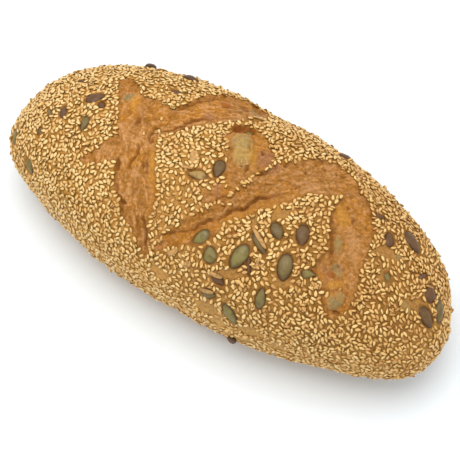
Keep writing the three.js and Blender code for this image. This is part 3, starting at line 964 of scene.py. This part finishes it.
def build_sesame(settings, material):
    draw = np.random.default_rng(SESAME_SEED)
    along, turn, points = seeded_places(draw)
    swept = smooth(40, 90, along) * 0.55
    is_swept = draw.random(len(along)) < swept
    swept_heading = draw.normal(325, 28, len(along))
    heading = np.where(is_swept, swept_heading, draw.uniform(0, 360, len(along)))
    ahead = frames_at(along, turn, heading)[0]
    growth = draw.normal(1, 0.07, (len(along), 1)).clip(0.82, 1.18)
    sizes = np.array([settings.length, settings.width, settings.thickness]) / MM * growth
    sizes[:, 1] *= draw.normal(1, 0.08, len(along)).clip(0.8, 1.2)
    half = sizes[:, :2] / 2
    spacing = spacing_factor(points)
    order = spread_out(points.tolist(), ahead.tolist(), half.tolist(), spacing.tolist(), settings.most)
    loose = draw.choice(order, int(len(order) * LOOSE_SHARE), replace=False)
    single = np.array(LONE_SEEDS, float)
    alone = draw.choice(len(along), len(single), replace=False)
    chosen = np.concatenate([order, loose, alone])
    heading = heading[chosen]
    heading[len(order) :] += draw.uniform(50, 130, len(chosen) - len(order))
    along = np.concatenate([along[order], along[loose], single[:, 0]])
    turn = np.concatenate([turn[order], turn[loose], single[:, 1]])
    sizes = sizes[chosen]
    sizes[:, 1] *= 1 - 0.12 * smooth(30, 90, along)
    tone = draw.random(len(along))
    lift = 0.42 - 0.34 * tone
    lift[len(order) : len(order) + len(loose)] = draw.uniform(0.75, 1.15, len(loose))
    points, _ = crust_at(along, turn)
    ahead, aside, out = frames_at(along, turn, heading)
    lean = draw.normal(0, 0.2, (len(along), 2))
    lean[len(order) :] *= 2
    ahead = unit(ahead + out * lean[:, :1])
    aside = unit(aside + out * lean[:, 1:])
    out = unit(np.cross(ahead, aside))
    aside = np.cross(out, ahead)
    template, rim = sesame_template()
    low = smooth(58, 24, points[:, 2])
    # Darker towards +X, partly toasting and partly painted shade, and paler low on the sides.
    toast_and_painted_shade = 0.35 + along / 280 + 0.25 * fractal(points, 30, 2, 12) - 0.5 * low
    masks = {
        "tone": np.repeat(np.clip(0.85 * tone + 0.5 * (toast_and_painted_shade - 0.3), 0, 1), len(template)),
        "low": np.repeat(low, len(template)),
        "rim": np.tile(rim, len(along)),
    }
    place = points + out * lift[:, None]
    shaped = template[None] * sizes[:, None, :]
    points = place[:, None] + sum(
        shaped[..., axis : axis + 1] * way[:, None] for axis, way in enumerate((ahead, aside, out))
    )
    faces = many_faces(len(along), 2, SESAME_SIDES)
    add_mesh("sesame_seeds", points.reshape(-1, 3), faces, masks, material)


# Pumpkin seeds


def pumpkin_seed(record, number):
    """Points and masks of one seed lying on the crust."""
    along, turn, heading, length, width, proud, pinch, browning = record
    angle = np.arange(PUMPKIN_SIDES) * 2 * math.pi / PUMPKIN_SIDES
    tip = 1 + 0.1 * bell(angle / 0.35) + 0.1 * bell((angle - 2 * math.pi) / 0.35)
    outline = np.stack([np.cos(angle) * tip, np.sin(angle) * (1 - pinch * np.cos(angle))], -1)
    share = np.array(PUMPKIN_RINGS)
    above = zip(share, (1 - share**2.6) ** 0.8 + 0.1 * bell((share - 0.9) / 0.06))
    below = ((share, -((1 - share**2) ** 0.5)) for share in PUMPKIN_UNDER_RINGS)
    rings = [*above, (1, 0), *below]
    shape = ringed(outline, rings, (0, 0, 1), (0, 0, -1))
    rim = np.concatenate([*(np.full(PUMPKIN_SIDES, share) for share, _ in rings), [0, 1]])
    half = np.array([length / 2, width / 2, PUMPKIN_THICKNESS / 2])
    local = shape * half
    sag = 0.012 * (local[:, 0] ** 2 + local[:, 1] ** 2)
    local[:, 2] += proud - PUMPKIN_THICKNESS / 2 - sag
    wrinkle = fractal(local + number * 31.0, 3.2, 3, 2) * np.where(shape[:, 2] > 0, 0.22, 0.1)
    ridges = 0.07 * np.cos(local[:, 1] * 4.4 + number) * np.where(shape[:, 2] > 0.2, 1, 0)
    local[:, 2] += wrinkle + ridges
    return laid_down(local, along, turn, heading), {"browning": np.full(len(local), browning), "rim": rim}


def build_pumpkin_seeds(material):
    made = [pumpkin_seed(record, number) for number, record in enumerate(PUMPKIN_SEEDS)]
    rings = len(PUMPKIN_RINGS) + 1 + len(PUMPKIN_UNDER_RINGS)
    faces = many_faces(len(made), rings, PUMPKIN_SIDES)
    points = np.vstack([points for points, _ in made])
    masks = {label: np.concatenate([masks[label] for _, masks in made]) for label in ("browning", "rim")}
    add_mesh("pumpkin_seeds", points, faces, masks, material)


def build_husks(material):
    """Thin curved strips of husk and split halves of seeds."""
    rings, sides = 12, 8
    half_thickness = 0.28
    share = np.linspace(-1, 1, rings + 2)[1:-1, None]
    angle = np.arange(sides) * 2 * math.pi / sides
    full = (1 - share**2) ** 0.5
    points = []
    for along, turn, heading, length, width, curl, lift in HUSKS:
        wide = np.sin(angle) * full * width / 2
        high = lift + curl * (1 - share**2) * 0.6 + np.cos(angle) * full * half_thickness
        strip = np.stack([np.broadcast_to(share * length / 2, wide.shape), wide, high], -1).reshape(-1, 3)
        local = np.vstack([strip, [-length / 2, 0, lift], [length / 2, 0, lift]])
        points.append(laid_down(local, along, turn, heading))
    add_mesh("husks", np.vstack(points), many_faces(len(HUSKS), rings, sides), {}, material)


# Finishes


class Finish:
    """A material being put together from nodes."""

    def __init__(self, name):
        self.material = bpy.data.materials.new(name)
        self.material.use_nodes = True
        self.tree = self.material.node_tree
        self.tree.nodes.clear()
        self.shader = self.tree.nodes.new("ShaderNodeBsdfPrincipled")
        output = self.tree.nodes.new("ShaderNodeOutputMaterial")
        self.join(self.shader.outputs[0], output.inputs[0])
        self.place = self.tree.nodes.new("ShaderNodeTexCoord").outputs["Object"]

    def join(self, source, target):
        self.tree.links.new(source, target)

    def put(self, socket, value):
        if isinstance(value, bpy.types.NodeSocket):
            self.join(value, socket)
        elif isinstance(value, (int, float)):
            socket.default_value = value
        else:
            socket.default_value = (*value, 1)[: len(socket.default_value)]

    def mask(self, name):
        node = self.tree.nodes.new("ShaderNodeAttribute")
        node.attribute_name = name
        return node.outputs["Fac"]

    def clouds(self, size, detail=3, rough=0.55):
        """Noise whose forms measure size, in mm."""
        node = self.tree.nodes.new("ShaderNodeTexNoise")
        node.inputs["Scale"].default_value = 1 / (size * MM)
        node.inputs["Detail"].default_value = detail
        node.inputs["Roughness"].default_value = rough
        self.join(self.place, node.inputs["Vector"])
        return node.outputs["Fac"]

    def span(self, value, low, high, to_low=0, to_high=1):
        node = self.tree.nodes.new("ShaderNodeMapRange")
        node.interpolation_type = "SMOOTHSTEP"
        self.put(node.inputs["Value"], value)
        node.inputs["From Min"].default_value = low
        node.inputs["From Max"].default_value = high
        node.inputs["To Min"].default_value = to_low
        node.inputs["To Max"].default_value = to_high
        return node.outputs["Result"]

    def maths(self, how, first, second):
        node = self.tree.nodes.new("ShaderNodeMath")
        node.operation = how
        self.put(node.inputs[0], first)
        self.put(node.inputs[1], second)
        return node.outputs[0]

    def times(self, first, second):
        return self.maths("MULTIPLY", first, second)

    def plus(self, first, second):
        return self.maths("ADD", first, second)

    def larger(self, first, second):
        return self.maths("MAXIMUM", first, second)

    def mix(self, share, first, second, how="MIX"):
        node = self.tree.nodes.new("ShaderNodeMix")
        node.data_type = "RGBA"
        node.blend_type = how
        colours = [socket for socket in node.inputs if socket.type == "RGBA"]
        self.put(node.inputs["Factor"], share)
        self.put(colours[0], first)
        self.put(colours[1], second)
        return next(socket for socket in node.outputs if socket.type == "RGBA")

    def layers(self, colour, *layers):
        """Lays colours over the first, each by its share times the most of it that may show."""
        for share, shade, most in layers:
            colour = self.mix(self.times(share, most), colour, shade)
        return colour

    def grey(self, value):
        node = self.tree.nodes.new("ShaderNodeCombineColor")
        for socket in node.inputs[:3]:
            self.join(value, socket)
        return node.outputs[0]

    def fibres(self, wide, detail):
        """Noise drawn out along the fibres of the openings, its strands about wide mm apart."""
        place = self.tree.nodes.new("ShaderNodeCombineXYZ")
        self.join(self.mask("run"), place.inputs[0])
        self.join(self.mask("lane"), place.inputs[1])
        node = self.tree.nodes.new("ShaderNodeTexNoise")
        node.inputs["Scale"].default_value = 1.5 / wide
        node.inputs["Detail"].default_value = detail
        node.inputs["Roughness"].default_value = 0.6
        self.join(place.outputs[0], node.inputs["Vector"])
        return node.outputs["Fac"]

    def finished(self, colour, roughness, specular):
        """The material, once its shader has its colour, roughness and shine."""
        self.put(self.shader.inputs["Base Color"], colour)
        self.put(self.shader.inputs["Roughness"], roughness)
        self.put(self.shader.inputs["Specular IOR Level"], specular)
        return self.material

    def bump(self, height, distance):
        node = self.tree.nodes.new("ShaderNodeBump")
        node.inputs["Distance"].default_value = distance
        node.inputs["Strength"].default_value = 1
        self.join(height, node.inputs["Height"])
        self.join(node.outputs[0], self.shader.inputs["Normal"])


def crust_finish(colours):
    """Baked crust: tan among the seeds, cracked and streaked with orange in the openings."""
    finish = Finish("baked_crust")
    mask, span, clouds, times = finish.mask, finish.span, finish.clouds, finish.times
    blotches = clouds(15, 4)
    speckle = clouds(1.7, 4, 0.65)
    flecks = clouds(1.2, 2, 0.5)
    seeded = finish.layers(
        finish.mix(span(blotches, 0.45, 0.7), colours.ground, colours.brown),
        # Browner towards +X: partly baking, partly painted shade.
        (mask("toast_and_painted_shade"), colours.brown, 0.35),
        (mask("sparse"), colours.tan, 0.6),
        (mask("clear"), colours.tan, 1),
        (mask("low"), colours.side, 0.8),
    )
    strands = times(finish.plus(finish.fibres(1.4, 2), -0.5), mask("streak"))
    fibres = finish.plus(finish.plus(strands, times(clouds(2.6, 4), 0.5)), 0.25)
    opened = finish.layers(
        finish.mix(span(blotches, 0.48, 0.62), colours.bare, colours.orange),
        (span(fibres, 0.51, 0.58), colours.light, 0.7),
        (span(fibres, 0.49, 0.43), colours.strand, 0.7),
        (mask("light"), colours.light, 0.4),
        (mask("rosy"), colours.rosy, 0.65),
        (mask("slope"), colours.orange, 0.75),
    )
    veil = span(clouds(2.6, 3), 0.38, 0.6, 0.35, 0.85)
    colour = finish.layers(
        finish.mix(finish.larger(mask("bare"), mask("ground")), seeded, opened),
        (span(flecks, 0.54, 0.68), colours.light, 0.5),
        (span(flecks, 0.44, 0.3), colours.strand, 0.45),
        # Painted shade along the borders of the openings.
        (mask("edge"), colours.brown, 0.45),
        (mask("pale"), colours.pale, 0.75),
        (times(mask("green"), veil), colours.green, 1),
        (mask("golden"), colours.golden, 0.5),
        (mask("red"), colours.red, 0.7),
        # Painted shade in the cracks, hollows and pits, and painted shadow round the pumpkin seeds.
        (mask("crease"), colours.crease, 0.85),
    )
    # Darkens the crust towards +X, partly painted shade, and less in the openings.
    toast_and_painted_shade = finish.larger(span(mask("toast_and_painted_shade"), 0, 1, 1.03, 0.76), times(mask("bare"), 0.93))
    shade = times(span(speckle, 0.3, 0.7, 0.78, 1.18), toast_and_painted_shade)
    colour = finish.mix(1, colour, finish.grey(shade), "MULTIPLY")
    finish.bump(finish.plus(clouds(0.8, 3), times(speckle, 1.6)), colours.grain)
    return finish.finished(colour, span(speckle, 0.3, 0.7, 0.5, 0.7), 0.16)


def sesame_finish(colours):
    """Toasted sesame, each seed with a dark skirt all round: partly toasted edge and glaze, partly painted
    contact shadow.
    """
    finish = Finish("toasted_sesame")
    mix, span = finish.mix, finish.span
    tone = finish.mask("tone")
    rim = finish.mask("rim")
    colour = mix(span(tone, 0, 0.6), colours.pale, colours.golden)
    colour = mix(span(tone, 0.6, 1), colour, colours.glazed)
    colour = mix(span(finish.clouds(1.1, 2), 0.5, 0.75, 0, 0.5), colour, colours.glazed)
    # The dark rim, partly painted contact shadow, turns to the glazed colour low on the sides, which is
    # painted light, and on darker-toned seeds.
    rim_shade_fade = finish.larger(finish.mask("low"), finish.times(tone, 0.4))
    colour = mix(span(rim, 0.74, 1.1), colour, mix(rim_shade_fade, colours.rim, colours.glazed))
    finish.bump(finish.clouds(0.5, 2), 0.06 * MM)
    return finish.finished(colour, span(tone, 0, 1, 0.36, 0.5), span(rim, 0.7, 0.9, 0.5, 0.05))


def pumpkin_finish(colours):
    """Pumpkin seeds from green to brown, darker at the edge and streaked along."""
    finish = Finish("toasted_pumpkin_seed")
    mix, span = finish.mix, finish.span
    browning = finish.mask("browning")
    colour = mix(span(browning, -1, 0), colours.husk, colours.green)
    colour = mix(span(browning, 0, 1), colour, colours.brown)
    colour = mix(span(finish.clouds(3.2, 4), 0.45, 0.7, 0, 0.45), colour, colours.edge)
    colour = mix(span(finish.mask("rim"), 0.6, 0.98, 0, 0.9), colour, colours.edge)
    finish.bump(finish.clouds(0.8, 3), 0.1 * MM)
    return finish.finished(colour, span(finish.clouds(1.8, 3), 0.3, 0.7, 0.34, 0.5), 0.35)


def husk_finish(colours):
    """Pale dry husk."""
    finish = Finish("seed_husk")
    colour = finish.mix(finish.span(finish.clouds(1.6, 3), 0.4, 0.7, 0, 0.5), colours.husk, colours.edge)
    finish.bump(finish.clouds(0.7, 2), 0.08 * MM)
    return finish.finished(colour, 0.6, 0.5)


def floor_finish(colour):
    """Smooth matt white floor."""
    finish = Finish("white_floor")
    shade = finish.mix(finish.clouds(400, 1), colour, [0.99 * value for value in colour])
    return finish.finished(shade, 0.8, 0.1)


# Stage

FLOOR_REACH = 1.6
FLOOR_POINTS = 9
SKY_COLOUR = (0.93, 0.98, 1.02, 1)
LAMP_COLOUR = (1, 0.96, 0.9)
LAMP_PLACE = (-0.14, 0, 1.2)
LAMP_AIM = (0, 0, 0.03)
LAMP_WIDTH = 1

# Where the camera looks, in millimetres, and how far it is slid to its right and up
CAMERA_AIM = (0, -1.25, 30)
SLIDE_RIGHT = 0.9
SLIDE_UP = -7.5
SENSOR_WIDTH = 36


def build_floor(settings):
    steps = np.linspace(-FLOOR_REACH, FLOOR_REACH, FLOOR_POINTS)
    points = [(x, y, 0) for y in steps for x in steps]
    corner = [row * FLOOR_POINTS + i for row in range(FLOOR_POINTS - 1) for i in range(FLOOR_POINTS - 1)]
    faces = [(i, i + 1, i + 1 + FLOOR_POINTS, i + FLOOR_POINTS) for i in corner]
    mesh = bpy.data.meshes.new("floor")
    mesh.from_pydata(points, [], faces)
    mesh.materials.append(floor_finish(settings.floor))
    floor = bpy.data.objects.new("floor", mesh)
    bpy.context.scene.collection.objects.link(floor)


def build_lights(settings):
    scene = bpy.context.scene
    scene.world = bpy.data.worlds.new("white_room")
    scene.world.use_nodes = True
    sky = scene.world.node_tree.nodes["Background"]
    sky.inputs["Color"].default_value = SKY_COLOUR
    sky.inputs["Strength"].default_value = settings.sky
    lamp = bpy.data.lights.new("soft_lamp", "AREA")
    lamp.shape = "DISK"
    lamp.size = LAMP_WIDTH
    lamp.energy = settings.lamp
    lamp.color = LAMP_COLOUR
    light = bpy.data.objects.new("soft_lamp", lamp)
    light.location = LAMP_PLACE
    aim = Vector(LAMP_AIM) - light.location
    light.rotation_euler = aim.to_track_quat("-Z", "Y").to_euler()
    scene.collection.objects.link(light)
    scene.view_settings.view_transform = "Standard"


def build_camera(settings):
    """Looks at the loaf as the photograph does."""
    flat = math.cos(settings.elevation)
    cosine, sine = math.cos(settings.azimuth), math.sin(settings.azimuth)
    back = Vector((sine * flat, -cosine * flat, math.sin(settings.elevation)))
    right = Vector((cosine, sine, 0))
    up = back.cross(right)
    aim = (Vector(CAMERA_AIM) + right * SLIDE_RIGHT + up * SLIDE_UP) * MM
    place = aim + back * settings.distance
    lens = bpy.data.cameras.new("camera")
    lens.lens = settings.lens
    lens.sensor_width = SENSOR_WIDTH
    camera = bpy.data.objects.new("camera", lens)
    camera.matrix_world = Matrix.Translation(place) @ Matrix((right, up, back)).transposed().to_4x4()
    bpy.context.scene.collection.objects.link(camera)
    bpy.context.scene.camera = camera


# Operators


class BREAD_OT_crust(bpy.types.Operator):
    """Build the crust with its opened cuts"""

    bl_idname = "bread.crust"
    bl_label = "Crust"

    def execute(self, context):
        build_crust(crust_finish(context.scene.bread_crust))
        return {"FINISHED"}


class BREAD_OT_sesame(bpy.types.Operator):
    """Scatter the sesame seeds over the crust"""

    bl_idname = "bread.sesame"
    bl_label = "Sesame seeds"

    def execute(self, context):
        settings = context.scene.bread_sesame
        build_sesame(settings, sesame_finish(settings))
        return {"FINISHED"}


class BREAD_OT_pumpkin(bpy.types.Operator):
    """Lay the pumpkin seeds on the crust"""

    bl_idname = "bread.pumpkin"
    bl_label = "Pumpkin seeds"

    def execute(self, context):
        build_pumpkin_seeds(pumpkin_finish(context.scene.bread_pumpkin))
        return {"FINISHED"}


class BREAD_OT_husks(bpy.types.Operator):
    """Add the strips of husk and the split seeds"""

    bl_idname = "bread.husks"
    bl_label = "Husks"

    def execute(self, context):
        build_husks(husk_finish(context.scene.bread_pumpkin))
        return {"FINISHED"}


class BREAD_OT_stage(bpy.types.Operator):
    """Set up the floor, the lights and the camera"""

    bl_idname = "bread.stage"
    bl_label = "Stage"

    def execute(self, context):
        settings = context.scene.bread_stage
        build_floor(settings)
        build_lights(settings)
        build_camera(settings)
        return {"FINISHED"}


OPERATORS = (BREAD_OT_crust, BREAD_OT_pumpkin, BREAD_OT_sesame, BREAD_OT_husks, BREAD_OT_stage)


class BREAD_PT_panel(bpy.types.Panel):
    """Lists the steps that build the loaf"""

    bl_label = "Rustic pumpkin bread"
    bl_idname = "BREAD_PT_panel"
    bl_space_type = "VIEW_3D"
    bl_region_type = "UI"
    bl_category = "Bread"

    def draw(self, context):
        for step in OPERATORS:
            self.layout.operator(step.bl_idname)


SETTINGS = {
    "bread_crust": CrustSettings,
    "bread_sesame": SesameSettings,
    "bread_pumpkin": PumpkinSettings,
    "bread_stage": StageSettings,
}


def register():
    for kind in (*SETTINGS.values(), *OPERATORS, BREAD_PT_panel):
        bpy.utils.register_class(kind)
    for name, kind in SETTINGS.items():
        setattr(bpy.types.Scene, name, PointerProperty(type=kind))


def unregister():
    for name in SETTINGS:
        delattr(bpy.types.Scene, name)
    for kind in reversed((*SETTINGS.values(), *OPERATORS, BREAD_PT_panel)):
        bpy.utils.unregister_class(kind)


def main():
    register()
    bpy.ops.bread.crust()
    bpy.ops.bread.pumpkin()
    bpy.ops.bread.sesame()
    bpy.ops.bread.husks()
    bpy.ops.bread.stage()


if __name__ == "__main__":
    main()
